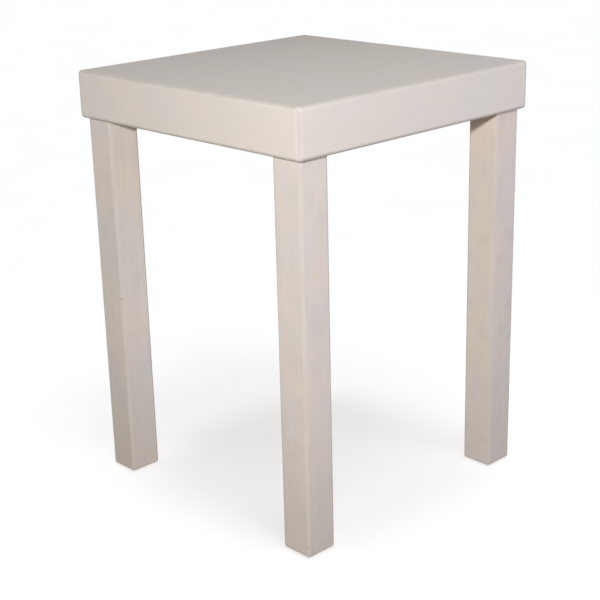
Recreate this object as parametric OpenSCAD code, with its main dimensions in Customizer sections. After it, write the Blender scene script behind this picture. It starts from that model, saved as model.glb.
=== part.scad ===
// Square bar table: a deep boxed top of mitred boards on four thick square posts.
// The origin is on the floor under the middle of the top, with +Z up and the front towards -Y.

/* [Overall] */
// Length of the top from left to right
top_w = 800; // [650:10:1000]
// Depth of the top from front to back
top_d = 800; // [650:10:1000]
// Height from the floor to the upper surface
table_h = 1090; // [900:5:1200]
// Depth of the boxed top, from its upper surface to the lower edge of the aprons
box_depth = 120; // [105:1:160]

/* [Boxed top] */
// Thickness of the top panel
panel_t = 18; // [15:1:25]
// Thickness of the apron boards, which is also how far the legs stand in
apron_t = 15; // [13:0.5:22]
// Radius of the four upright corners of the boxed top
corner_r = 12; // [4:0.5:13]
// Radius rolled along the upper edge
upper_edge_r = 10; // [2:0.5:12]
// Radius rolled along the lower edge
lower_edge_r = 9; // [2:0.5:11]

/* [Legs] */
// Side of the square section of a leg
leg_side = 88; // [65:1:100]
// Radius along the upright edges of a leg
leg_edge_r = 8; // [2:0.5:14]
// Radius rolled round the bottom end of a leg
foot_edge_r = 6; // [1:0.5:8]
// How deep the inner corner of a leg is planed flat where the bolts enter
leg_flat = 10; // [6:0.5:16]

/* [Corner blocks] */
// Thickness of a corner block
block_t = 28; // [24:1:36]
// Height of a corner block
block_h = 75; // [62:1:82]
// Space left between a leg and its block, so that the nuts can draw the leg tight
draw_gap = 4; // [2:0.5:8]

/* [Cleats] */
// Width of a cleat, measured out from the apron
cleat_w = 20; // [16:1:30]
// Height of a cleat
cleat_h = 20; // [16:1:30]
// Space between the end of a cleat and the corner block
cleat_end_gap = 0.8; // [0.3:0.1:5]

/* [Mitre splines] */
// Thickness of the loose tongue in a mitre
spline_t = 3; // [2:0.5:4]
// Width of the tongue across the mitre
spline_w = 12; // [8:1:14]
// Distance of the tongue from the inner end of the mitre
spline_set_in = 6; // [4:0.5:7]
// How far above the lower edge of the aprons the tongue stops
spline_stop = 22; // [12:1:40]

/* [Hanger bolts] */
// Diameter of a hanger bolt
bolt_d = 8; // [6:1:10]
// Length of bolt screwed into the leg
bolt_grip = 45; // [30:1:60]
// Length of bolt that stands out of the nut
bolt_tail = 5; // [2:0.5:10]
// Distance between the two bolts of a corner
bolt_pitch = 36; // [26:1:44]
// Diameter of a washer
washer_d = 20; // [18:1:24]
// Thickness of a washer
washer_t = 1.6; // [1:0.1:2.5]
// Width of a nut across its flats
nut_flats = 13; // [12:0.5:17]
// Height of a nut
nut_h = 6.5; // [5:0.5:9]

/* [Wood screws] */
// Diameter of a screw over its thread
screw_d = 4; // [3:0.5:5]
// Diameter of a screw's head
head_d = 8; // [7:0.5:10]
// Height of a screw's head
head_h = 2.4; // [2:0.1:3]
// How far a screw goes into the board that it holds
screw_bite = 10; // [6:0.5:11]
// Distance between the two screws at each end of a corner block
block_screw_pitch = 40; // [24:1:50]
// Diameter of the pocket that seats a screw in a corner block
pocket_d = 9; // [8.5:0.5:11]
// Distance between the screws that go from a cleat into the top panel
top_screw_pitch = 130; // [40:5:140]
// Distance between the screws that go from a cleat into its apron
side_screw_pitch = 130; // [40:5:140]

/* [Glides] */
// Diameter of a glide
glide_d = 26; // [18:1:40]
// Height of a glide, which lifts the legs off the floor
glide_h = 4; // [3:0.5:6]
// Radius of the glide's lower rim
glide_rim_r = 1.5; // [0.5:0.5:2.5]
// Diameter of the nail that holds a glide
nail_d = 2.6; // [2:0.2:3.6]
// Length of the nail
nail_l = 22; // [15:1:35]
// Diameter of the nail's head
nail_head_d = 7; // [5:0.5:9]
// Thickness of the nail's head
nail_head_h = 1; // [0.6:0.1:1.4]

/* [Fits] */
// Clearance all round a shank in its hole
hole_gap = 0.15; // [0.1:0.05:0.3]
// Clearance all round a tongue in its groove
groove_gap = 0.1; // [0.05:0.05:0.3]

/* [Hidden] */
$fn = 64;
// How far a cutting shape runs past the face that it cuts
over = 1;
// Height of the nail's head above the floor
nail_recess = 0.5;
// Depth of wood that a screw pocket keeps all round its seat
pocket_rim = 0.3;
// Height of the chamfer on the free end of a bolt
bolt_bevel = 1;
// Width, length and depth of the cross recess, as parts of the head's width and height
recess_w = 0.16;
recess_l = 0.62;
recess_deep = 0.6;
// Width of the flat crown of a screw's head, as a part of the head
crown = 0.7;
// Length of the sharp end of a screw, bolt or nail, and the width of its tip, in diameters
point = 1.2;
tip_w = 0.12;

paint = "#E3DACC";
bare_wood = "#CDB189";
zinc = "#B9BDC0";
nylon = "#D9D6CC";

CORNERS = [["front_left", [-1, -1]], ["front_right", [1, -1]], ["back_right", [1, 1]], ["back_left", [-1, 1]]];
SIDES = [["front", 0], ["right", 90], ["back", 180], ["left", 270]];

// Clear plan inside the aprons, and the level of the top panel's underside
inner_w = top_w - 2 * apron_t;
inner_d = top_d - 2 * apron_t;
under_panel = table_h - panel_t;
apron_h = box_depth - panel_t;
apron_low = table_h - box_depth;

// Places along the diagonal of a corner, measured from the inner corner of the aprons
flat_at = leg_side * sqrt(2) - leg_flat;
block_near = flat_at + draw_gap;
block_far = block_near + block_t;
// The same two faces of the block where they meet an apron
block_near_edge = block_near * sqrt(2);
block_far_edge = block_far * sqrt(2);
block_low = under_panel - block_h;
block_mid = under_panel - block_h / 2;

// Seat of the screw heads in a block, measured from the apron, and the screw that it takes
block_screw_at = (block_near_edge + block_far_edge) / 2;
block_seat = block_t / sqrt(2) - pocket_d / 2 - pocket_rim;

bolt_l = bolt_grip + draw_gap + block_t + washer_t + nut_h + bolt_tail;
cleat_reach = block_far_edge + cleat_end_gap;

// Runs its children in a corner of the table, with the inner corner of the aprons as their origin
// and both axes pointing in towards the middle
module at_corner(signs) {
    translate([signs[0] * inner_w / 2, signs[1] * inner_d / 2, 0])
        mirror([signs[0] > 0 ? 1 : 0, 0, 0])
            mirror([0, signs[1] > 0 ? 1 : 0, 0])
                children();
}

// Turns its children to one side of the table: they are drawn for the front, with X along the
// apron and the apron's inner face at Y = 0
module at_side(turn) {
    half = turn % 180 == 0 ? inner_d / 2 : inner_w / 2;
    rotate([0, 0, turn]) translate([0, -half, 0]) children();
}

// Clear length inside the aprons along the side that is turned by this angle
function inner_length(turn) = turn % 180 == 0 ? inner_w : inner_d;

// What a router takes off an edge that it rounds
module edge_waste(radius) {
    difference() {
        square(radius + over);
        circle(radius);
    }
}

// Section of a board's edge, from X = 0 out to its depth, with its outer corners rolled
module edge_section(depth, height, low_r, high_r) {
    difference() {
        square([depth, height]);
        if (high_r > 0) translate([depth - high_r, height - high_r]) edge_waste(high_r);
        if (low_r > 0) translate([depth - low_r, low_r]) mirror([0, 1]) edge_waste(low_r);
    }
}

// Block on the floor, centred in plan, with round upright edges and rolled ends.
// Each straight run ends where the round corners start, so the round faces meet on flat ends.
module rolled_block(width, depth, height, upright_r, low_r, high_r) {
    low = min(low_r, upright_r);
    high = min(high_r, upright_r);
    module run(length, across) {
        rotate([90, 0, 0]) linear_extrude(length, center = true) {
            edge_section(across / 2, height, low, high);
            mirror([1, 0]) edge_section(across / 2, height, low, high);
        }
    }
    run(depth - 2 * upright_r, width);
    rotate([0, 0, 90]) run(width - 2 * upright_r, depth);
    for (x = [0, 1], y = [0, 1])
        mirror([x, 0, 0]) mirror([0, y, 0])
            translate([width / 2 - upright_r, depth / 2 - upright_r, 0])
                rotate_extrude(angle = 90) edge_section(upright_r, height, low, high);
}

// Places of the two bolts of a corner, from the planed flat of the leg and pointing to the middle
module at_bolts() {
    for (up = [-1, 1])
        rotate([0, 0, 45]) translate([flat_at, 0, block_mid + up * bolt_pitch / 2]) rotate([0, 90, 0]) children();
}

// Places of the four screws of a block, from the seat of the head and pointing into the apron
module at_block_screws() {
    for (swap = [0, 1], up = [-1, 1])
        mirror([swap, -swap, 0])
            translate([block_screw_at, block_seat, block_mid + up * block_screw_pitch / 2])
                rotate([90, 0, 0]) children();
}

// Places of the screws of a cleat that go up into the top panel, from the cleat's underside
module at_top_screws() {
    for (step = [-1, 0, 1])
        translate([step * top_screw_pitch, cleat_w / 2, under_panel - cleat_h]) children();
}

// Places of the screws of a cleat that go into its apron, from the cleat's inner face
module at_side_screws() {
    for (step = [-1, 1])
        translate([step * side_screw_pitch / 2, cleat_w, under_panel - cleat_h / 2])
            rotate([90, 0, 0]) children();
}

// Hole for a screw of this length, from its seat up along Z
module screw_hole(length) {
    translate([0, 0, -over]) cylinder(d = screw_d + 2 * hole_gap, h = length + over + 2 * hole_gap);
}

// Screw with its seat at Z = 0, its point up and its head below
module screw(length) {
    tip = point * screw_d;
    rim = head_h / 2;
    difference() {
        union() {
            cylinder(d = screw_d, h = length - tip);
            translate([0, 0, length - tip]) cylinder(d1 = screw_d, d2 = screw_d * tip_w, h = tip);
            translate([0, 0, -rim]) cylinder(d = head_d, h = rim);
            translate([0, 0, -head_h]) cylinder(d1 = head_d * crown, d2 = head_d, h = head_h - rim);
        }
        for (turn = [0, 90])
            rotate([0, 0, turn])
                translate([-head_d * recess_l / 2, -head_d * recess_w / 2, -head_h - over])
                    cube([head_d * recess_l, head_d * recess_w, head_h * recess_deep + over]);
    }
}

// One board as large as the whole upper surface, its edge and corners rolled over
module top_panel() {
    color(paint)
    difference() {
        translate([0, 0, under_panel]) rolled_block(top_w, top_d, panel_t, corner_r, 0, upper_edge_r);
        for (side = SIDES) at_side(side[1]) at_top_screws() screw_hole(cleat_h + screw_bite);
    }
}

// Everything outside the two mitre planes of a side, drawn like at_side's children
module mitre_wedge(turn) {
    half = inner_length(turn) / 2;
    reach = apron_t + over;
    linear_extrude(table_h + over)
        polygon([[-half, 0], [half, 0], [half + reach, -reach], [-half - reach, -reach]]);
}

// Plan of a tongue or its groove in a corner, square across the mitre
module spline_plan(gap) {
    offset_in = spline_set_in / sqrt(2);
    translate([-offset_in, -offset_in])
        rotate(-45) square([spline_w + 2 * gap, spline_t + 2 * gap], center = true);
}

// Board on edge under the rim of the top, mitred at both ends and grooved there for the tongues
module apron(turn) {
    color(paint)
    difference() {
        intersection() {
            difference() {
                translate([0, 0, apron_low])
                    rolled_block(top_w, top_d, apron_h, corner_r, lower_edge_r, 0);
                translate([-inner_w / 2, -inner_d / 2, 0]) cube([inner_w, inner_d, table_h]);
            }
            at_side(turn) mitre_wedge(turn);
        }
        for (corner = CORNERS) at_corner(corner[1]) {
            translate([0, 0, apron_low + spline_stop - groove_gap])
                linear_extrude(box_depth) spline_plan(groove_gap);
            at_block_screws() screw_hole(block_seat + screw_bite);
        }
        at_side(turn) at_side_screws() screw_hole(cleat_w + screw_bite);
    }
}

// Loose tongues of plywood, glued into the grooves of the four mitres
module mitre_splines() {
    color(bare_wood)
    for (corner = CORNERS) at_corner(corner[1])
        translate([0, 0, apron_low + spline_stop])
            linear_extrude(apron_h - spline_stop) spline_plan(0);
}

// Square post from its glide up to the top panel, with a planed flat and bolt holes inside the box
module leg(signs) {
    color(paint)
    at_corner(signs)
    difference() {
        translate([leg_side / 2, leg_side / 2, glide_h])
            rolled_block(leg_side, leg_side, under_panel - glide_h, leg_edge_r, foot_edge_r, 0);
        rotate([0, 0, 45])
            translate([flat_at, -leg_side, block_low])
                cube([leg_side, 2 * leg_side, block_h + over]);
        at_bolts() translate([0, 0, -bolt_grip - hole_gap])
            cylinder(d = bolt_d + 2 * hole_gap, h = bolt_grip + 2 * over);
        translate([leg_side / 2, leg_side / 2, 0])
            cylinder(d = nail_d + 2 * hole_gap, h = nail_recess + nail_l + hole_gap);
    }
}

// Thick bar across the corner behind the leg, cut to meet both aprons flat
module corner_block(signs) {
    color(bare_wood)
    at_corner(signs)
    difference() {
        translate([0, 0, block_low])
            linear_extrude(block_h)
                polygon([[block_near_edge, 0], [block_far_edge, 0], [0, block_far_edge], [0, block_near_edge]]);
        at_bolts() cylinder(d = bolt_d + 1, h = draw_gap + block_t + over);
        at_block_screws() {
            screw_hole(block_seat + screw_bite);
            translate([0, 0, -block_t]) cylinder(d = pocket_d, h = block_t);
        }
    }
}

// Square strip along the apron between two blocks, which ties the apron to the top panel
module cleat(turn) {
    length = inner_length(turn) - 2 * cleat_reach;
    color(bare_wood)
    at_side(turn)
    difference() {
        translate([-length / 2, 0, under_panel - cleat_h]) cube([length, cleat_w, cleat_h]);
        at_top_screws() screw_hole(cleat_h + screw_bite);
        at_side_screws() screw_hole(cleat_w + screw_bite);
    }
}

// Two bolts a corner, with a wood thread in the leg and a machine thread through the block
module hanger_bolts() {
    tip = point * bolt_d;
    color(zinc)
    for (corner = CORNERS) at_corner(corner[1]) at_bolts()
        translate([0, 0, -bolt_grip]) {
            cylinder(d1 = bolt_d * tip_w, d2 = bolt_d, h = tip);
            translate([0, 0, tip]) cylinder(d = bolt_d, h = bolt_l - tip - bolt_bevel);
            translate([0, 0, bolt_l - bolt_bevel])
                cylinder(d1 = bolt_d, d2 = bolt_d - 2 * bolt_bevel, h = bolt_bevel);
        }
}

// Flat ring between each nut and the soft wood of the block
module bolt_washers() {
    color(zinc)
    for (corner = CORNERS) at_corner(corner[1]) at_bolts()
        translate([0, 0, draw_gap + block_t])
            difference() {
                cylinder(d = washer_d, h = washer_t);
                translate([0, 0, -over]) cylinder(d = bolt_d + 2 * hole_gap, h = washer_t + 2 * over);
            }
}

// Hexagon nut with the outer corners of both ends turned down
module bolt_nuts() {
    across_corners = nut_flats / cos(30);
    color(zinc)
    for (corner = CORNERS) at_corner(corner[1]) at_bolts()
        translate([0, 0, draw_gap + block_t + washer_t])
            difference() {
                intersection() {
                    cylinder(d = across_corners, h = nut_h, $fn = 6);
                    union() {
                        cylinder(d1 = nut_flats, d2 = nut_flats + nut_h, h = nut_h / 2);
                        translate([0, 0, nut_h / 2]) cylinder(d1 = nut_flats + nut_h, d2 = nut_flats, h = nut_h / 2);
                    }
                }
                translate([0, 0, -over]) cylinder(d = bolt_d + 2 * hole_gap, h = nut_h + 2 * over);
            }
}

// Screws in the pockets of the blocks, two into each apron
module block_screws() {
    color(zinc)
    for (corner = CORNERS) at_corner(corner[1]) at_block_screws() screw(block_seat + screw_bite);
}

// Screws from below through each cleat into the top panel
module cleat_top_screws() {
    color(zinc)
    for (side = SIDES) at_side(side[1]) at_top_screws() screw(cleat_h + screw_bite);
}

// Screws from inside through each cleat into its apron
module cleat_side_screws() {
    color(zinc)
    for (side = SIDES) at_side(side[1]) at_side_screws() screw(cleat_w + screw_bite);
}

// Moulded disc under the middle of a leg, hollowed for the head of its nail
module glide(signs) {
    color(nylon)
    at_corner(signs) translate([leg_side / 2, leg_side / 2, 0])
        difference() {
            rotate_extrude() edge_section(glide_d / 2, glide_h, glide_rim_r, 0);
            translate([0, 0, -over]) cylinder(d = nail_d + 2 * hole_gap, h = glide_h + 2 * over);
            translate([0, 0, -over])
                cylinder(d = nail_head_d + 2 * hole_gap, h = over + nail_recess + nail_head_h);
        }
}

// Flat-headed nails that hold the glides to the end grain of the legs
module glide_nails() {
    tip = point * nail_d;
    color(zinc)
    for (corner = CORNERS) at_corner(corner[1]) translate([leg_side / 2, leg_side / 2, nail_recess]) {
        cylinder(d = nail_head_d, h = nail_head_h);
        cylinder(d = nail_d, h = nail_l - tip);
        translate([0, 0, nail_l - tip]) cylinder(d1 = nail_d, d2 = nail_d * tip_w, h = tip);
    }
}

top_panel();
apron(SIDES[0][1]);  // apron_front
apron(SIDES[1][1]);  // apron_right
apron(SIDES[2][1]);  // apron_back
apron(SIDES[3][1]);  // apron_left
leg(CORNERS[0][1]);  // leg_front_left
leg(CORNERS[1][1]);  // leg_front_right
leg(CORNERS[2][1]);  // leg_back_right
leg(CORNERS[3][1]);  // leg_back_left
corner_block(CORNERS[0][1]);  // corner_block_front_left
corner_block(CORNERS[1][1]);  // corner_block_front_right
corner_block(CORNERS[2][1]);  // corner_block_back_right
corner_block(CORNERS[3][1]);  // corner_block_back_left
cleat(SIDES[0][1]);  // cleat_front
cleat(SIDES[1][1]);  // cleat_right
cleat(SIDES[2][1]);  // cleat_back
cleat(SIDES[3][1]);  // cleat_left
mitre_splines();
hanger_bolts();
bolt_washers();
bolt_nuts();
block_screws();
cleat_top_screws();
cleat_side_screws();
glide(CORNERS[0][1]);  // glide_front_left
glide(CORNERS[1][1]);  // glide_front_right
glide(CORNERS[2][1]);  // glide_back_right
glide(CORNERS[3][1]);  // glide_back_left
glide_nails();
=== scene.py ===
# A square bar table in ivory paint: a boxed top of mitred boards on four thick posts that are bolted
# into its corners. Metres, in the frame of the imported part: +Z up and the front towards -Y.
# The photograph looks at the upright edge between the front and the right side.
import math

import bmesh
import bpy
from mathutils import Matrix, Vector


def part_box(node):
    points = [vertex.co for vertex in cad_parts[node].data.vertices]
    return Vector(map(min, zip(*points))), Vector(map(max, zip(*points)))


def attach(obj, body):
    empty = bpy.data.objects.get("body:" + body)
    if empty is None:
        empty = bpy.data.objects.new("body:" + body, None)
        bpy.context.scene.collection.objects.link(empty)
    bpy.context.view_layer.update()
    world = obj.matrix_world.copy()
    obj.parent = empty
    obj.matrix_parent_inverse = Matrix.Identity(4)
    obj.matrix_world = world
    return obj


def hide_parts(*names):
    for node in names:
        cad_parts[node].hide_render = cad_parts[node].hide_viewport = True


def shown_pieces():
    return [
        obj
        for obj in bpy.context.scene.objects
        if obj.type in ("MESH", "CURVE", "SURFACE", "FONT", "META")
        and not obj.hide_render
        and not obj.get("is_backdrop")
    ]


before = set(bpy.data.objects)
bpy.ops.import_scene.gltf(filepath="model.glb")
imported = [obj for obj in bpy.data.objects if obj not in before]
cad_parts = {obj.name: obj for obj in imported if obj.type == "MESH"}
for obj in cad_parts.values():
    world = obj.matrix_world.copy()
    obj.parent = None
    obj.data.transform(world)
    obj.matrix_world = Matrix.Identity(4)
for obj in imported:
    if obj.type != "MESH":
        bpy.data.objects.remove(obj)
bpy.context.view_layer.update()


# The boxed top: one fibreboard panel over four aprons of the same board, mitred and glued, rounded
# over with a router, then filled, sanded and sprayed as one box, so that no seam shows.
# Inside it is only sealed, with a fringe of overspray above the lower edge.
MM = 0.001
panel_low, panel_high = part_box("top_panel")
apron_low, apron_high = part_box("apron_front")
top_half = panel_high.x
inner_half = -apron_high.y
# How far a tone may start beside a plane that it belongs to
hair = 0.3 * MM
# The router's cutters left radii of 9 to 12 mm, and the painted shade on the edges treats all of them
# alike
box_edge_r = 11 * MM
# The painted edge shade counts the top as this much higher, so it reaches less far over the upper edges
upper_edge_shade_offset = 2 * MM
# Overspray covers the inside up to the first height and ends at the second, with a ragged rim
overspray_full = 12 * MM
overspray_end = 30 * MM
overspray_ragged = 18 * MM
# A noise runs from 0 to 1, and nearly all of it lies between these two
noise_low = 0.3
noise_high = 0.7


def linear(colour):
    """An sRGB hex colour as the linear colour that a shader takes."""
    parts = [int(colour[i:i + 2], 16) / 255 for i in (1, 3, 5)]
    return [c / 12.92 if c <= 0.04045 else ((c + 0.055) / 1.055) ** 2.4 for c in parts] + [1]


def add(tree, kind, sockets=(), output=0, **settings):
    """Adds a node with its settings, fills or links its sockets, and returns one of its outputs."""
    node = tree.nodes.new(kind)
    for name, value in settings.items():
        setattr(node, name, value)
    for socket, value in dict(sockets).items():
        if isinstance(value, bpy.types.NodeSocket):
            tree.links.new(value, node.inputs[socket])
        else:
            node.inputs[socket].default_value = value
    return node.outputs[output] if node.outputs else None


def new_finish(name):
    """An empty material with its tree, and the place of each point in the frame of the part."""
    material = bpy.data.materials.new(name)
    material.use_nodes = True
    tree = material.node_tree
    tree.nodes.clear()
    return material, tree, add(tree, "ShaderNodeTexCoord", output="Object")


def tinted(tree, colour, tint, pattern, start, end, most=1.0):
    """A colour with a second one laid over it where a pattern runs from start to end."""
    amount = add(tree, "ShaderNodeMapRange",
                 {"Value": pattern, "From Min": start, "From Max": end, "To Max": most},
                 interpolation_type="SMOOTHSTEP")
    return add(tree, "ShaderNodeMixRGB", {"Fac": amount, "Color1": colour, "Color2": linear(tint)})


def depth_behind_edges(tree, place, centre, half, low, high):
    """How far a point on a square block lies from the block's nearest sharp edge, for a block that
    stands at plus or minus centre along X and Y."""
    x, y, z = [add(tree, "ShaderNodeSeparateXYZ", {0: place}, output=i) for i in range(3)]
    depths = []
    for across in (x, y):
        from_middle = add(tree, "ShaderNodeMath", {0: across}, operation="ABSOLUTE")
        from_centre = add(tree, "ShaderNodeMath", {0: from_middle, 1: centre}, operation="SUBTRACT")
        reach = add(tree, "ShaderNodeMath", {0: from_centre}, operation="ABSOLUTE")
        depths.append(add(tree, "ShaderNodeMath", {0: half, 1: reach}, operation="SUBTRACT"))
    above = add(tree, "ShaderNodeMath", {0: z, 1: low}, operation="SUBTRACT")
    below = add(tree, "ShaderNodeMath", {0: high, 1: z}, operation="SUBTRACT")
    end = add(tree, "ShaderNodeMath", {0: above, 1: below}, operation="MINIMUM")
    side = add(tree, "ShaderNodeMath", {0: depths[0], 1: depths[1]}, operation="MINIMUM")
    upright = add(tree, "ShaderNodeMath", {0: depths[0], 1: depths[1]}, operation="MAXIMUM")
    rim = add(tree, "ShaderNodeMath", {0: end, 1: side}, operation="MAXIMUM")
    return add(tree, "ShaderNodeMath", {0: upright, 1: rim}, operation="MINIMUM")


def satin_enamel(tree, place, edge, rounding, tones, drawn_out, streaks):
    """Ivory satin enamel: its tone drifts a little from warm to grey over a hand's breadth, and fine
    marks run the way it was brushed or sanded. Painted shade darkens the rounded edges, to damp the
    highlight that the light gives them. Returns its colour, its roughness and its height."""
    drift_span = 180 * MM
    drift = add(tree, "ShaderNodeTexNoise", {"Vector": place, "Scale": 1 / drift_span, "Detail": 3.0})
    colour = tinted(tree, linear(tones["warm"]), tones["cool"], drift, noise_low, noise_high)
    # Bristles and grit leave lines under 1 mm wide, drawn 5 mm wide so that they show
    line_w = 5 * MM
    along = add(tree, "ShaderNodeMapping",
                {"Vector": place, "Scale": [1 / (line_w * length) for length in drawn_out]})
    lines = add(tree, "ShaderNodeTexNoise",
                {"Vector": along, "Scale": 1.0, "Detail": 3.0, "Distortion": 0.3})
    colour = tinted(tree, colour, tones["line"], lines, 0.35, 0.75, streaks)
    cloud_span = 45 * MM
    cloud = add(tree, "ShaderNodeTexNoise", {"Vector": place, "Scale": 1 / cloud_span, "Detail": 4.0})
    colour = tinted(tree, colour, tones["handled"], cloud, 0.45, 0.8, 0.3)
    # Painted shade darkens the rounded edges to damp their highlight, a little more in some places
    thin_span = 60 * MM
    uneven = add(tree, "ShaderNodeTexNoise", {"Vector": place, "Scale": 1 / thin_span, "Detail": 2.0})
    reach = add(tree, "ShaderNodeMapRange",
                {"Value": uneven, "From Min": noise_low, "From Max": noise_high,
                 "To Min": 0.9 * rounding, "To Max": 1.2 * rounding})
    edge_shade = add(tree, "ShaderNodeMath", {0: edge, 1: reach}, operation="DIVIDE")
    colour = tinted(tree, colour, tones["edge_shade_tone"], edge_shade, 1.0, 0.3)
    roughness = add(tree, "ShaderNodeMapRange",
                    {"Value": cloud, "From Min": noise_low, "From Max": noise_high,
                     "To Min": 0.48, "To Max": 0.58})
    # The skin of sprayed or brushed enamel swells and dips every 2 or 3 mm
    skin_pitch = 2.5 * MM
    skin = add(tree, "ShaderNodeTexNoise", {"Vector": place, "Scale": 1 / skin_pitch, "Detail": 2.0})
    # The lines stand out less than the skin's swell
    line_share = 0.6
    ridges = add(tree, "ShaderNodeMath", {0: lines, 1: line_share}, operation="MULTIPLY")
    height = add(tree, "ShaderNodeMath", {0: ridges, 1: skin}, operation="ADD")
    return colour, roughness, height


def sealed_board(tree, place):
    """Fibreboard under a coat of sealer: brown, with a felt of fine fibres and dull blotches."""
    fibre_w = 1.6 * MM
    fibres = add(tree, "ShaderNodeTexNoise", {"Vector": place, "Scale": 1 / fibre_w, "Detail": 6.0})
    colour = tinted(tree, linear("#B39A7C"), "#C4AE92", fibres, noise_low, noise_high)
    blotch_span = 90 * MM
    blotches = add(tree, "ShaderNodeTexNoise",
                   {"Vector": place, "Scale": 1 / blotch_span, "Detail": 2.0})
    return tinted(tree, colour, "#A88E70", blotches, 0.3, 0.8, 0.5)


def boxed_board(name, drawn_out):
    """Sprayed enamel outside, smooth and even with a soft sheen and no mirror images. Inside, the
    brown board shows, with overspray that reaches 12 to 30 mm up from the lower edge."""
    material, tree, place = new_finish(name)
    # How deep each point lies behind the edges, for the painted shade over them; the last tone below is
    # that shade
    edge = depth_behind_edges(tree, place, 0.0, top_half, apron_low.z, panel_high.z + upper_edge_shade_offset)
    tones = {"warm": "#E5DCD0", "cool": "#E1DCD3", "line": "#E8E0D7",
             "handled": "#DCD4C9", "edge_shade_tone": "#CDC5BA"}
    # Sanding marks under sprayed paint are faint
    streaks = 0.25
    colour, roughness, height = satin_enamel(tree, place, edge, box_edge_r, tones, drawn_out, streaks)
    x, y, z = [add(tree, "ShaderNodeSeparateXYZ", {0: place}, output=i) for i in range(3)]
    across = add(tree, "ShaderNodeMath", {0: x}, operation="ABSOLUTE")
    deep = add(tree, "ShaderNodeMath", {0: y}, operation="ABSOLUTE")
    out = add(tree, "ShaderNodeMath", {0: across, 1: deep}, operation="MAXIMUM")
    within = add(tree, "ShaderNodeMath", {0: out, 1: inner_half + hair}, operation="LESS_THAN")
    under = add(tree, "ShaderNodeMath", {0: z, 1: panel_low.z + hair}, operation="LESS_THAN")
    inside = add(tree, "ShaderNodeMath", {0: within, 1: under}, operation="MULTIPLY")
    speck_w = 3 * MM
    specks = add(tree, "ShaderNodeTexNoise", {"Vector": place, "Scale": 1 / speck_w, "Detail": 5.0})
    wave_span = 70 * MM
    waves = add(tree, "ShaderNodeTexNoise", {"Vector": place, "Scale": 1 / wave_span, "Detail": 2.0})
    ragged = add(tree, "ShaderNodeMath", {0: specks, 1: waves}, operation="ADD")
    ragged = add(tree, "ShaderNodeMapRange",
                 {"Value": ragged, "From Min": 2 * noise_low, "From Max": 2 * noise_high,
                  "To Min": -overspray_ragged, "To Max": overspray_ragged})
    level = add(tree, "ShaderNodeMath", {0: z, 1: ragged}, operation="ADD")
    bare = add(tree, "ShaderNodeMapRange",
               {"Value": level, "From Min": apron_low.z + overspray_full,
                "From Max": apron_low.z + overspray_end},
               interpolation_type="SMOOTHSTEP")
    bare = add(tree, "ShaderNodeMath", {0: bare, 1: inside}, operation="MULTIPLY")
    brown = sealed_board(tree, place)
    colour = add(tree, "ShaderNodeMixRGB", {"Fac": bare, "Color1": colour, "Color2": brown})
    # Sealed board is this much rougher than the enamel
    rougher = 0.25
    duller = add(tree, "ShaderNodeMath", {0: bare, 1: rougher}, operation="MULTIPLY")
    roughness = add(tree, "ShaderNodeMath", {0: roughness, 1: duller}, operation="ADD")
    relief = add(tree, "ShaderNodeBump", {"Strength": 0.25, "Distance": 0.05 * MM, "Height": height})
    shader = add(tree, "ShaderNodeBsdfPrincipled",
                 {"Base Color": colour, "Roughness": roughness, "IOR": 1.5, "Normal": relief})
    add(tree, "ShaderNodeOutputMaterial", {"Surface": shader})
    return material


def give(node, material):
    """Finishes a CAD node with a material, over all its faces."""
    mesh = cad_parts[node].data
    mesh.materials.clear()
    mesh.materials.append(material)


# A sanding mark is this many times as long as it is wide
sanded_length = 40
board_along_x = boxed_board("sprayed_enamel_on_fibreboard_along_x", (sanded_length, 1, 1))
board_along_y = boxed_board("sprayed_enamel_on_fibreboard_along_y", (1, sanded_length, 1))
give("top_panel", board_along_x)
give("apron_front", board_along_x)
give("apron_back", board_along_x)
give("apron_right", board_along_y)
give("apron_left", board_along_y)


# The legs: square posts glued up from staves, machined, their edges rounded, and brushed with the
# same enamel along their length. The grain lifts the paint in long faint streaks. They grow greyer
# towards the floor, partly dust and partly painted shade, with a few small chips and a painted
# highlight.
CORNERS = {"front_left": (-1, -1), "front_right": (1, -1), "back_right": (1, 1), "back_left": (-1, 1)}
post_low, post_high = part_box("leg_back_right")
leg_centre = (post_low.x + post_high.x) / 2
leg_half = (post_high.x - post_low.x) / 2
block_low, block_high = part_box("corner_block_front_left")
# The diagonal of a corner, from the inner corner of the aprons: the planed flat of the leg, the
# space that lets the nuts draw it tight, and the block
block_t = 28 * MM
draw_gap = 4 * MM
block_far = (block_high.x - block_low.x) / math.sqrt(2)
flat_at = block_far - block_t - draw_gap
post_edge_r = 8 * MM
# The grey towards the floor, partly dust and partly painted shade, ends at shin height, and the dirtier
# smears end lower
dust_and_shade_top = 450 * MM
smear_top = 140 * MM
smear_full = 10 * MM
# Chips down to the grey undercoat: place in the frame, reach along the post and across it
chips = [
    (Vector((-0.299, -0.383, 0.500)), 5 * MM, 2.0 * MM),
    (Vector((-0.299, -0.384, 0.585)), 3 * MM, 1.2 * MM),
    (Vector((0.385, -0.302, 0.556)), 12 * MM, 1.5 * MM),
    (Vector((0.380, -0.385, 0.030)), 4 * MM, 2.0 * MM),
]
# A painted highlight: a pale line along the nearest edge of the front leg
painted_edge_highlight = (Vector((0.3835, -0.3835, 0.262)), 38 * MM, 1.3 * MM)


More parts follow.
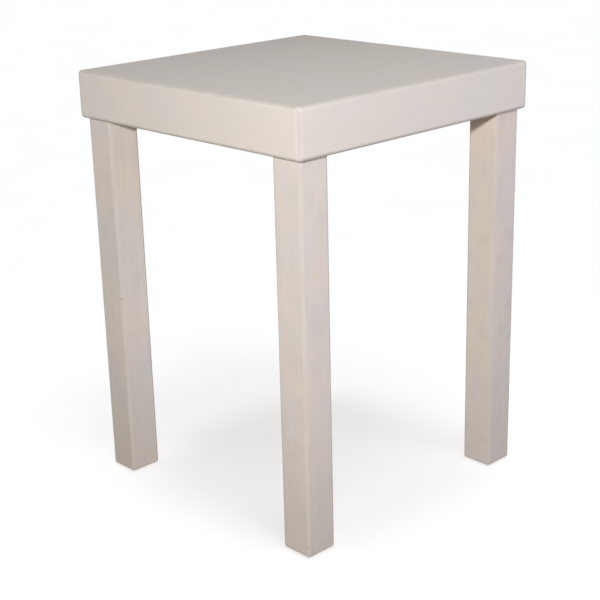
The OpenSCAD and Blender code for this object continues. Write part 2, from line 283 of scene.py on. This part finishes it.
def brushed_post():
    """Brushed enamel on solid wood: ivory with faint upright brush and grain lines, a little warmer
    and greyer than the sprayed top. The planed flat behind the corner block is bare wood."""
    material, tree, place = new_finish("brushed_enamel_on_solid_post")
    # The upper end is hidden in the box, so only the four long edges and the foot count
    endless = post_high.z + 1
    edge = depth_behind_edges(tree, place, leg_centre, leg_half, post_low.z, endless)
    # The last tone is painted shade for the rounded edges, to damp their highlight
    tones = {"warm": "#E4D7C8", "cool": "#DBD6CF", "line": "#EBE3DA",
             "handled": "#CFC5BA", "edge_shade_tone": "#D0C7BC"}
    # A brush line is 60 times as long as it is wide, and stronger than a sanding mark
    brushed = (1, 1, 60)
    streaks = 0.4
    colour, roughness, height = satin_enamel(tree, place, edge, post_edge_r, tones, brushed, streaks)
    x, y, z = [add(tree, "ShaderNodeSeparateXYZ", {0: place}, output=i) for i in range(3)]
    # Greyer towards the floor, partly dust and partly painted shade, and the front posts get more of it
    # than the back ones
    dust_and_shade = add(tree, "ShaderNodeMapRange",
               {"Value": y, "From Min": -leg_centre, "From Max": leg_centre,
                "To Min": 0.43, "To Max": 0.14})
    colour = tinted(tree, colour, "#C6BBAD", z, dust_and_shade_top, 0, dust_and_shade)
    # Smears are drawn out upwards, to two and a half times their width
    smear_w = 14 * MM
    smears = add(tree, "ShaderNodeMapping", {"Vector": place, "Scale": (1, 1, 0.4)})
    smears = add(tree, "ShaderNodeTexNoise",
                 {"Vector": smears, "Scale": 1 / smear_w, "Detail": 5.0, "Distortion": 0.6})
    low_down = add(tree, "ShaderNodeMapRange",
                   {"Value": z, "From Min": smear_top, "From Max": smear_full,
                    "To Min": 0.25, "To Max": 0.0})
    smears = add(tree, "ShaderNodeMath", {0: smears, 1: low_down}, operation="SUBTRACT")
    colour = tinted(tree, colour, "#A89E92", smears, 0.54, 0.76, 0.4)
    # A chip's outline is ragged by grains of 3 mm
    grain_w = 3 * MM
    ragged = add(tree, "ShaderNodeTexNoise", {"Vector": place, "Scale": 1 / grain_w, "Detail": 3.0})
    undercoat = "#9A8C7C"
    highlight_tone = "#F4EEE6"
    # Chips show the grey undercoat, and the pale line is a painted highlight
    for (at, tall, wide), tint in [(chip, undercoat) for chip in chips] + [(painted_edge_highlight, highlight_tone)]:
        away = add(tree, "ShaderNodeVectorMath", {0: place, 1: at}, operation="SUBTRACT")
        away = add(tree, "ShaderNodeVectorMath",
                   {0: away, 1: (1 / wide, 1 / wide, 1 / tall)}, operation="MULTIPLY")
        away = add(tree, "ShaderNodeVectorMath", {0: away}, output=1, operation="LENGTH")
        away = add(tree, "ShaderNodeMath", {0: away, 1: ragged}, operation="ADD")
        colour = tinted(tree, colour, tint, away, 1.6, 1.2, 0.7)
    across = add(tree, "ShaderNodeMath", {0: x}, operation="ABSOLUTE")
    deep = add(tree, "ShaderNodeMath", {0: y}, operation="ABSOLUTE")
    both = add(tree, "ShaderNodeMath", {0: across, 1: deep}, operation="ADD")
    flat_sum = 2 * inner_half - (flat_at - hair) * math.sqrt(2)
    on_flat = add(tree, "ShaderNodeMath", {0: both, 1: flat_sum}, operation="LESS_THAN")
    beside_block = add(tree, "ShaderNodeMath", {0: z, 1: block_low.z}, operation="GREATER_THAN")
    planed = add(tree, "ShaderNodeMath", {0: on_flat, 1: beside_block}, operation="MULTIPLY")
    # Wood fibres, 1.5 mm wide and 60 times as long
    fibre_w = 1.5 * MM
    fibres = add(tree, "ShaderNodeMapping", {"Vector": place, "Scale": (1, 1, 1 / 60)})
    fibres = add(tree, "ShaderNodeTexNoise", {"Vector": fibres, "Scale": 1 / fibre_w, "Detail": 4.0})
    wood = tinted(tree, linear("#D2B48A"), "#BF9C6E", fibres, noise_low, noise_high)
    colour = add(tree, "ShaderNodeMixRGB", {"Fac": planed, "Color1": colour, "Color2": wood})
    relief = add(tree, "ShaderNodeBump", {"Strength": 0.45, "Distance": 0.1 * MM, "Height": height})
    shader = add(tree, "ShaderNodeBsdfPrincipled",
                 {"Base Color": colour, "Roughness": roughness, "IOR": 1.5, "Normal": relief})
    add(tree, "ShaderNodeOutputMaterial", {"Surface": shader})
    return material


post_finish = brushed_post()
for corner in CORNERS:
    give("leg_" + corner, post_finish)


# Corner blocks and cleats: pine from the mill, planed but left bare. A block is screwed across each
# corner behind the leg, and a cleat is glued and screwed along each apron under the top panel.
def planed_pine(name, turn, shift):
    """Planed pine: pale straw with darker latewood lines 4 mm apart, fine fibres along the grain
    and a dull, dry surface. The grain runs along X after the turn about Z."""
    material, tree, place = new_finish(name)
    place = add(tree, "ShaderNodeMapping",
                {"Vector": place, "Rotation": (0, 0, -turn), "Location": shift})
    # The trunk bows a little, so its rings wander by a few millimetres along the board
    wander = 9 * MM
    bow_span = 120 * MM
    bow = add(tree, "ShaderNodeMapping", {"Vector": place, "Scale": (0.25, 1, 1)})
    bow = add(tree, "ShaderNodeTexNoise", {"Vector": bow, "Scale": 1 / bow_span, "Detail": 1.0})
    bow = add(tree, "ShaderNodeMapRange", {"Value": bow, "To Min": -wander, "To Max": wander})
    bow = add(tree, "ShaderNodeCombineXYZ", {"X": 0.0, "Y": bow, "Z": bow})
    bent = add(tree, "ShaderNodeVectorMath", {0: place, 1: bow}, operation="ADD")
    # Blender's wave turns through one ring in 2 pi / 20 of its own unit
    ring_pitch = 4 * MM
    rings = add(tree, "ShaderNodeTexWave",
                {"Vector": bent, "Scale": 2 * math.pi / 20 / ring_pitch, "Distortion": 1.5,
                 "Detail": 2.0, "Detail Scale": 0.4},
                output=1, wave_type="RINGS", rings_direction="X", wave_profile="SAW")
    # Fibres are 70 times as long as they are wide, and patches of another shade 3 times
    fibre_w = 0.9 * MM
    fibres = add(tree, "ShaderNodeMapping", {"Vector": place, "Scale": (1 / 70, 1, 1)})
    fibres = add(tree, "ShaderNodeTexNoise", {"Vector": fibres, "Scale": 1 / fibre_w, "Detail": 4.0})
    patch_w = 60 * MM
    patches = add(tree, "ShaderNodeMapping", {"Vector": place, "Scale": (1 / 3, 1, 1)})
    patches = add(tree, "ShaderNodeTexNoise", {"Vector": patches, "Scale": 1 / patch_w, "Detail": 2.0})
    colour = tinted(tree, linear("#DDBF93"), "#BF8F58", rings, 0.45, 0.98)
    colour = tinted(tree, colour, "#C9A273", fibres, 0.4, 0.75, 0.45)
    colour = tinted(tree, colour, "#CDA676", patches, 0.4, 0.8, 0.35)
    height = add(tree, "ShaderNodeMath", {0: rings, 1: fibres}, operation="ADD")
    relief = add(tree, "ShaderNodeBump", {"Strength": 0.5, "Distance": 0.15 * MM, "Height": height})
    roughness = add(tree, "ShaderNodeMapRange",
                    {"Value": fibres, "From Min": noise_low, "From Max": noise_high,
                     "To Min": 0.55, "To Max": 0.70})
    shader = add(tree, "ShaderNodeBsdfPrincipled",
                 {"Base Color": colour, "Roughness": roughness, "IOR": 1.5, "Normal": relief})
    add(tree, "ShaderNodeOutputMaterial", {"Surface": shader})
    return material


# Each piece is cut from another part of the trunk: a shift says where the middle of its rings lies,
# and each next piece's lies a step further on.
block_shift = (0, 0.021, -0.97)
block_step = (0.31, 0.017, 0.013)
cleat_shift = (0, 0.36, -1.03)
cleat_step = (0.4, -0.05, -0.011)
for number, corner in enumerate(CORNERS):
    turn = math.radians(-45 if number % 2 == 0 else 45)
    shift = [start + step * number for start, step in zip(block_shift, block_step)]
    give("corner_block_" + corner, planed_pine("planed_pine_block_" + corner, turn, shift))
for number, side in enumerate(("front", "right", "back", "left")):
    turn = math.radians(90 * (number % 2))
    shift = [start + step * number for start, step in zip(cleat_shift, cleat_step)]
    give("cleat_" + side, planed_pine("planed_pine_cleat_" + side, turn, shift))


# Splines: loose tongues of birch plywood, three plies thick, glued into the grooves of the mitres.
# Only their lower ends can be seen, up in the corners of the box.
def birch_plywood():
    """Birch plywood: cream with short brown fibres along its upright faces, dull and dry."""
    material, tree, place = new_finish("birch_plywood")
    # Fibres are 30 times as long as they are wide
    fibre_w = 1 * MM
    fibres = add(tree, "ShaderNodeMapping", {"Vector": place, "Scale": (1, 1, 1 / 30)})
    fibres = add(tree, "ShaderNodeTexNoise", {"Vector": fibres, "Scale": 1 / fibre_w, "Detail": 4.0})
    colour = tinted(tree, linear("#E2CBA2"), "#CFAF7E", fibres, noise_low, noise_high)
    relief = add(tree, "ShaderNodeBump", {"Strength": 0.4, "Distance": 0.1 * MM, "Height": fibres})
    shader = add(tree, "ShaderNodeBsdfPrincipled",
                 {"Base Color": colour, "Roughness": 0.6, "IOR": 1.5, "Normal": relief})
    add(tree, "ShaderNodeOutputMaterial", {"Surface": shader})
    return material


give("mitre_splines", birch_plywood())


# Hanger bolts: two M8 steel rods a corner, zinc plated. A coarse wood thread is turned into the leg,
# a short plain shank follows, and a fine machine thread passes through the block to the nut.
def bright_zinc():
    """Bright zinc plate: a cool, slightly blotchy silver with blurred reflections."""
    material, tree, place = new_finish("bright_zinc_plate")
    spangle_w = 2.5 * MM
    spangle = add(tree, "ShaderNodeTexNoise", {"Vector": place, "Scale": 1 / spangle_w, "Detail": 4.0})
    tarnish_w = 7 * MM
    tarnish = add(tree, "ShaderNodeTexNoise", {"Vector": place, "Scale": 1 / tarnish_w, "Detail": 3.0})
    colour = tinted(tree, linear("#C3C8CC"), "#D3D4D2", spangle, noise_low, noise_high)
    colour = tinted(tree, colour, "#9FA3A4", tarnish, 0.55, 0.8, 0.5)
    roughness = add(tree, "ShaderNodeMapRange",
                    {"Value": spangle, "From Min": noise_low, "From Max": noise_high,
                     "To Min": 0.24, "To Max": 0.38})
    grain_w = 0.4 * MM
    grain = add(tree, "ShaderNodeTexNoise", {"Vector": place, "Scale": 1 / grain_w, "Detail": 2.0})
    relief = add(tree, "ShaderNodeBump", {"Strength": 0.2, "Distance": 0.02 * MM, "Height": grain})
    shader = add(tree, "ShaderNodeBsdfPrincipled",
                 {"Base Color": colour, "Metallic": 1.0, "Roughness": roughness, "Normal": relief})
    add(tree, "ShaderNodeOutputMaterial", {"Surface": shader})
    return material


# Points that lie closer than this are one point
weld = 0.002 * MM


def wind_thread(shape, low, high, pitch, ridge, sides, radius):
    """Adds a length of rod along Z to a mesh in the making. Each row of points climbs by one pitch a
    turn, so the ridge runs as a true right-handed helix. Ridge lists how far through the pitch each
    row lies and how high it stands, and radius turns a height and that into a distance from the
    axis, which has to be the same all round at both ends."""
    rows = []
    for turn in range(-2, math.ceil((high - low) / pitch) + 3):
        for through, stands in ridge:
            row = []
            for side in range(sides):
                climbed = low + (turn + through + side / sides) * pitch
                z = min(max(climbed, low), high)
                angle = math.tau * side / sides
                out = radius(z, stands)
                row.append(shape.verts.new((out * math.cos(angle), out * math.sin(angle), z)))
            rows.append(row)
    # A row that has gone once round meets the row of the next turn
    for number in range(len(rows) - len(ridge) - 1):
        near = rows[number] + rows[number + len(ridge)][:1]
        far = rows[number + 1] + rows[number + len(ridge) + 1][:1]
        for side in range(sides):
            shape.faces.new((near[side], near[side + 1], far[side + 1], far[side]))
    bmesh.ops.remove_doubles(shape, verts=shape.verts, dist=weld)


def finished_mesh(shape, name, crease=35):
    """The mesh of a shape, smooth all over except where it turns by more than the crease."""
    bmesh.ops.recalc_face_normals(shape, faces=shape.faces)
    mesh = bpy.data.meshes.new(name)
    shape.to_mesh(mesh)
    shape.free()
    for face in mesh.polygons:
        face.use_smooth = True
    mesh.set_sharp_from_angle(angle=math.radians(crease))
    return mesh


def set_fixings(mesh, name, places):
    """One piece that holds a copy of a fixing at each place, and stands for the CAD node of its name.
    A place says where the tip is and which way the other end points."""
    shape = bmesh.new()
    for tip, along in places:
        copy = mesh.copy()
        turned = Vector(along).to_track_quat("Z", "Y").to_matrix().to_4x4()
        copy.transform(Matrix.Translation(tip) @ turned)
        shape.from_mesh(copy)
        bpy.data.meshes.remove(copy)
    joined = bpy.data.meshes.new("threaded_" + name)
    shape.to_mesh(joined)
    shape.free()
    joined.materials.append(zinc)
    piece = bpy.data.objects.new("threaded_" + name, joined)
    bpy.context.scene.collection.objects.link(piece)
    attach(piece, "root")
    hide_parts(name)


zinc = bright_zinc()
bolt_r = 4 * MM
bolt_grip = 45 * MM
bolt_tail = 5 * MM
bolt_pitch = 36 * MM
bolt_bevel = 1 * MM
washer_t = 1.6 * MM
nut_h = 6.5 * MM
bolt_l = bolt_grip + draw_gap + block_t + washer_t + nut_h + bolt_tail
# Rolled threads stand out of a shank that is thinner than they are
shank_r = 3.6 * MM
shank_from = 40 * MM
shank_to = 46 * MM
machine_pitch = 1.25 * MM
machine_root_r = 3.23 * MM
machine_ridge = ((0.06, 0), (0.44, 1), (0.56, 1), (0.94, 0))
wood_pitch = 3.2 * MM
wood_root_r = 2.9 * MM
wood_ridge = ((0, 0), (0.34, 0), (0.48, 1), (0.52, 1), (0.66, 0))
bolt_point = 9.6 * MM


def wood_end(z, stands):
    """Radius of the bolt's wood thread, which starts at a point and runs out into the shank."""
    fade = min(1, (shank_from - z) / wood_pitch)
    crest = wood_root_r + stands * (bolt_r - wood_root_r)
    return min(shank_r + fade * (crest - shank_r), bolt_r * z / bolt_point)


def plain_shank(z, stands):
    """Radius of the bolt between its threads."""
    return shank_r


def machine_end(z, stands):
    """Radius of the bolt's machine thread, which runs out into the shank and ends in a bevel."""
    fade = min(1, (z - shank_to) / machine_pitch)
    crest = machine_root_r + stands * (bolt_r - machine_root_r)
    return min(shank_r + fade * (crest - shank_r), bolt_r - bolt_bevel + max(0, bolt_l - z))


shape = bmesh.new()
bolt_sides = 16
no_ridge = ((0, 0),)
wind_thread(shape, 0, shank_from, wood_pitch, wood_ridge, bolt_sides, wood_end)
wind_thread(shape, shank_from, shank_to, shank_to - shank_from, no_ridge, bolt_sides, plain_shank)
wind_thread(shape, shank_to, bolt_l, machine_pitch, machine_ridge, bolt_sides, machine_end)
bmesh.ops.holes_fill(shape, edges=[edge for edge in shape.edges if edge.is_boundary])
bolt_mesh = finished_mesh(shape, "hanger_bolt")

block_mid = (block_low.z + block_high.z) / 2
places = []
for across, deep in CORNERS.values():
    inward = Vector((-across, -deep, 0)).normalized()
    inner_corner = Vector((across * inner_half, deep * inner_half, 0))
    for up in (-1, 1):
        tip = inner_corner + inward * (flat_at - bolt_grip)
        tip.z = block_mid + up * bolt_pitch / 2
        places.append((tip, inward))
set_fixings(bolt_mesh, "hanger_bolts", places)


# Washers and hexagon nuts on the bolts, and the nails of the glides: pressed and headed steel, with
# the same zinc plate. A washer lies flat on the block under each nut, and the nut draws the leg in.
for node in ("bolt_washers", "bolt_nuts", "glide_nails"):
    give(node, zinc)


# Wood screws: 4 mm, cross-headed, zinc plated, driven dry. Four hold each block to its two aprons
# from slanting pockets, three hold each cleat up to the top panel and two hold it to its apron.
screw_r = 2 * MM
screw_shank_r = 1.4 * MM
screw_root_r = 1.25 * MM
screw_thread_pitch = 1.8 * MM
screw_point = 4.8 * MM
# How much of a screw's length is threaded
threaded = 0.65
head_r = 4 * MM
head_h = 2.4 * MM
# A pan head's side, from its rim up to its flat crown: distance from the axis and height
pan_side = ((head_r, 0), (head_r, 1.1 * MM), (3.88 * MM, 1.55 * MM), (3.5 * MM, 1.95 * MM),
            (3.05 * MM, 2.25 * MM), (2.65 * MM, head_h))
# The cross narrows from its mouth to its bottom: reach of its arms and half their width
mouth_reach = 2.3 * MM
mouth_half = 0.6 * MM
bottom_reach = 1.2 * MM
bottom_half = 0.45 * MM
recess_deep = 1.5 * MM


def cross(reach, half_width, z):
    """Corners of a cross-shaped outline about the axis, in order."""
    arm = ((reach, -half_width), (reach, half_width), (half_width, half_width))
    turns = ((1, 0), (0, 1), (-1, 0), (0, -1))
    return [(c * x - s * y, s * x + c * y, z) for c, s in turns for x, y in arm]


def wood_screw(length):
    """Mesh of one screw, its tip at the origin and its pan head above the seat at this length."""
    run_out = length * threaded

    def radius(z, stands):
        fade = min(1, max(0, (run_out - z) / screw_thread_pitch))
        crest = screw_root_r + stands * (screw_r - screw_root_r)
        return min(screw_shank_r + fade * (crest - screw_shank_r), screw_r * z / screw_point)

    shape = bmesh.new()
    sides = 12
    wind_thread(shape, 0, run_out, screw_thread_pitch, wood_ridge, sides, radius)
    rings = [(screw_shank_r, run_out, sides), (screw_shank_r, length, sides)]
    rings += [(r, length + z, 2 * sides) for r, z in pan_side]
    rows = []
    for r, z, count in rings:
        angles = [math.tau * side / count for side in range(count)]
        rows.append([shape.verts.new((r * math.cos(a), r * math.sin(a), z)) for a in angles])
    for near, far in zip(rows, rows[1:]):
        step = len(far) // len(near)
        for side, corner in enumerate(near):
            reached = [far[(side * step + more) % len(far)] for more in range(step + 1)]
            shape.faces.new((corner, near[(side + 1) % len(near)], *reversed(reached)))
    crown = length + head_h
    mouth = [shape.verts.new(point) for point in cross(mouth_reach, mouth_half, crown)]
    bottom = [shape.verts.new(point) for point in cross(bottom_reach, bottom_half, crown - recess_deep)]
    outlines = []
    for loop in (rows[-1], mouth):
        for start, end in zip(loop, loop[1:] + loop[:1]):
            outlines.append(shape.edges.get((start, end)) or shape.edges.new((start, end)))
    bmesh.ops.triangle_fill(shape, use_beauty=True, edges=outlines)
    for number, corner in enumerate(mouth):
        following = (number + 1) % len(mouth)
        shape.faces.new((corner, mouth[following], bottom[following], bottom[number]))
    shape.faces.new(bottom)
    bmesh.ops.remove_doubles(shape, verts=shape.verts, dist=weld)
    return finished_mesh(shape, "wood_screw")


cleat_low, cleat_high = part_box("cleat_front")
cleat_w = cleat_high.y - cleat_low.y
cleat_h = cleat_high.z - cleat_low.z
screw_bite = 10 * MM
pocket_r = 4.5 * MM
pocket_rim = 0.3 * MM
block_screw_pitch = 40 * MM
cleat_screw_pitch = 130 * MM
# Where a block screw's head sits, measured along the apron and out from it
seat_along = (block_far - block_t / 2) * math.sqrt(2)
seat_out = block_t / math.sqrt(2) - pocket_r - pocket_rim
up_screws = []
side_screws = []
block_screws = []
for turn in range(4):
    to_side = Matrix.Rotation(turn * math.pi / 2, 4, "Z")
    inward = to_side @ Vector((0, 1, 0))
    for step in (-1, 0, 1):
        along = step * cleat_screw_pitch
        tip = to_side @ Vector((along, cleat_w / 2 - inner_half, panel_low.z + screw_bite))
        up_screws.append((tip, (0, 0, -1)))
    for step in (-1, 1):
        middle = (cleat_low.z + cleat_high.z) / 2
        tip = to_side @ Vector((step * cleat_screw_pitch / 2, -inner_half - screw_bite, middle))
        side_screws.append((tip, inward))
        for up in (-1, 1):
            along = step * (inner_half - seat_along)
            height = block_mid + up * block_screw_pitch / 2
            tip = to_side @ Vector((along, -inner_half - screw_bite, height))
            block_screws.append((tip, inward))
set_fixings(wood_screw(seat_out + screw_bite), "block_screws", block_screws)
set_fixings(wood_screw(cleat_h + screw_bite), "cleat_top_screws", up_screws)
set_fixings(wood_screw(cleat_w + screw_bite), "cleat_side_screws", side_screws)


# Glides: moulded nylon discs, nailed under the legs to keep the paint off the floor.
# They are hidden in the photograph's view, and the floor has scratched and greyed them.
def moulded_nylon():
    """Nylon 6, injection moulded: milky off-white, a soft even sheen, greyed where it rubs the floor."""
    material, tree, place = new_finish("moulded_nylon")
    z = add(tree, "ShaderNodeSeparateXYZ", {0: place}, output=2)
    # Scratches are 6 times as long as they are wide
    scratch_w = 0.8 * MM
    scratches = add(tree, "ShaderNodeMapping", {"Vector": place, "Scale": (1 / 6, 1, 1)})
    scratches = add(tree, "ShaderNodeTexNoise",
                    {"Vector": scratches, "Scale": 1 / scratch_w, "Detail": 4.0})
    # The higher above the floor, the stronger a scratch has to be to hold dirt
    clean_at = 2 * MM
    dirt = add(tree, "ShaderNodeMath", {0: z, 1: -1 / clean_at, 2: scratches}, operation="MULTIPLY_ADD")
    colour = tinted(tree, linear("#E4E0D4"), "#A29B8D", dirt, 0.4, 0.65, 0.6)
    relief = add(tree, "ShaderNodeBump", {"Strength": 0.3, "Distance": 0.05 * MM, "Height": scratches})
    shader = add(tree, "ShaderNodeBsdfPrincipled",
                 {"Base Color": colour, "Roughness": 0.45, "IOR": 1.53, "Normal": relief})
    add(tree, "ShaderNodeOutputMaterial", {"Surface": shader})
    return material


nylon = moulded_nylon()
for corner in CORNERS:
    give("glide_" + corner, nylon)


# The floor: a wide sheet of white paper, lit on its own, so that the top and the legs throw a soft
# pool of shade on it. It throws no light back, because the photograph's floor was cut out white.
def white_paper():
    """White studio paper: dull, even and nearly burnt out."""
    material, tree, place = new_finish("white_studio_paper")
    cloud_span = 400 * MM
    cloud = add(tree, "ShaderNodeTexNoise", {"Vector": place, "Scale": 1 / cloud_span, "Detail": 2.0})
    colour = tinted(tree, linear("#F0F2F5"), "#F3F5F8", cloud, noise_low, noise_high)
    dull = add(tree, "ShaderNodeBsdfDiffuse", {"Color": colour})
    # What the pool of shade keeps of the paper's white
    kept_white = 0.636
    glow = add(tree, "ShaderNodeEmission", {"Color": linear("#FFFFFF"), "Strength": kept_white})
    shader = add(tree, "ShaderNodeAddShader", {0: dull, 1: glow})
    add(tree, "ShaderNodeOutputMaterial", {"Surface": shader})
    return material


floor_half = 40.0
floor_mesh = bpy.data.meshes.new("paper_floor")
shape = bmesh.new()
bmesh.ops.create_grid(shape, x_segments=1, y_segments=1, size=floor_half)
shape.to_mesh(floor_mesh)
shape.free()
floor = bpy.data.objects.new("paper_floor", floor_mesh)
floor_mesh.materials.append(white_paper())
bpy.context.scene.collection.objects.link(floor)
floor.visible_diffuse = False
floor.visible_glossy = False
floor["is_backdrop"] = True


# The camera: a lens of moderate length at head height, found by fitting the corners and the rounded
# outline of the table to the photograph.
photo_px = 600
focal_px = 1338
camera_at = Vector((2.414, -2.333, 1.621))
heading = math.radians(136.30)
downward = math.radians(18.94)
roll = math.radians(-1.455)

level = Vector((math.cos(heading), math.sin(heading), 0))
forward = math.cos(downward) * level - math.sin(downward) * Vector((0, 0, 1))
level_right = forward.cross(Vector((0, 0, 1))).normalized()
level_down = forward.cross(level_right)
right = math.cos(roll) * level_right - math.sin(roll) * level_down
down = math.sin(roll) * level_right + math.cos(roll) * level_down
lens = bpy.data.cameras.new("photo_camera")
lens.lens = focal_px / photo_px * lens.sensor_width
# Far enough to see the paper to its edge from any side
lens.clip_end = 5 * floor_half
camera = bpy.data.objects.new("photo_camera", lens)
axes = Matrix((right, -down, -forward)).transposed().to_4x4()
camera.matrix_world = Matrix.Translation(camera_at) @ axes
bpy.context.scene.collection.objects.link(camera)
bpy.context.scene.camera = camera


# The light: a small key lamp up left of the camera, soft boxes to the right, low on the right, behind
# and overhead, and a faint glow that is stronger from below, as from a pale floor. Two broad suns
# light the paper only, one from nearly straight above and one from the camera's right.
def lamp(name, kind, at, aim, size, power, colour):
    """A lamp that looks at a point. Size is a soft box's side, or a sun's spread in radians."""
    data = bpy.data.lights.new(name, kind)
    data.energy = power
    data.color = linear(colour)[:3]
    if kind == "SUN":
        data.angle = size
    else:
        data.shape = "SQUARE"
        data.size = size
    thing = bpy.data.objects.new(name, data)
    thing.location = at
    thing.rotation_euler = (Vector(aim) - Vector(at)).to_track_quat("-Z", "Y").to_euler()
    bpy.context.scene.collection.objects.link(thing)
    return thing


def light_only(thing, subjects):
    """Lets a lamp light these objects and no others."""
    group = bpy.data.collections.new(thing.name + "_subjects")
    for subject in subjects:
        group.objects.link(subject)
    thing.light_linking.receiver_collection = group


table_middle = (0, 0, 0.8)
pieces = list(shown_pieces())
for name, at, aim, size, power, colour in (
        ("key_lamp", (2.01, -2.88, 2.04), table_middle, 0.25, 104, "#FFFDFF"),
        ("right_softbox", (3.2, 0.3, 1.9), table_middle, 1.5, 22, "#E8E9FF"),
        ("low_softbox", (2.6, 1.6, 0.6), table_middle, 1.0, 7, "#E8E9FF"),
        ("back_softbox", (1.0, 1.0, 2.2), table_middle, 0.6, 3.6, "#FFFFFF"),
        ("back_left_softbox", (-2.4, 2.4, 0.7), (0, 0, 0.6), 0.7, 80, "#FFFFFF"),
        ("overhead_softbox", (0, 0, 3.2), (0, 0, 0), 1.4, 16, "#F6F9FF")):
    area_lamp = lamp(name, "AREA", at, aim, size, power, colour)
    # The key lamp gives no sheen, which would burn out the top as seen from behind
    area_lamp.visible_glossy = name != "key_lamp"
    light_only(area_lamp, pieces)
# A sun's tilt is how far it stands aside, along X and Y, for each metre of height
sun_height = 4
for name, tilt, spread, power in (("paper_sun_above", (-0.03, 0.01), 13, 0.40),
                                  ("paper_sun_tilted", (0.38, -0.14), 28, 0.52)):
    at = (tilt[0] * sun_height, tilt[1] * sun_height, sun_height)
    light_only(lamp(name, "SUN", at, (0, 0, 0), math.radians(spread), power, "#FFFFFF"), [floor])

world = bpy.data.worlds.new("studio")
world.use_nodes = True
studio = world.node_tree
studio.nodes.clear()
towards = add(studio, "ShaderNodeTexCoord", output="Generated")
rise = add(studio, "ShaderNodeSeparateXYZ", {0: towards}, output=2)
# The glow changes from just above the horizon to 37 degrees below it
glow_above = (0.12, 0.12, 0.12, 1)
glow_below = (0.38, 0.36, 0.35, 1)
below = add(studio, "ShaderNodeMapRange", {"Value": rise, "From Min": 0.1, "From Max": -0.6})
tint = add(studio, "ShaderNodeMixRGB", {"Fac": below, "Color1": glow_above, "Color2": glow_below})
glow = add(studio, "ShaderNodeBackground", {"Color": tint, "Strength": 1.0})
white = add(studio, "ShaderNodeBackground", {"Color": linear("#FFFFFF"), "Strength": 1.0})
seen = add(studio, "ShaderNodeLightPath", output="Is Camera Ray")
backdrop = add(studio, "ShaderNodeMixShader", {0: seen, 1: glow, 2: white})
add(studio, "ShaderNodeOutputWorld", {"Surface": backdrop})
bpy.context.scene.world = world
bpy.context.scene.view_settings.view_transform = "Standard"
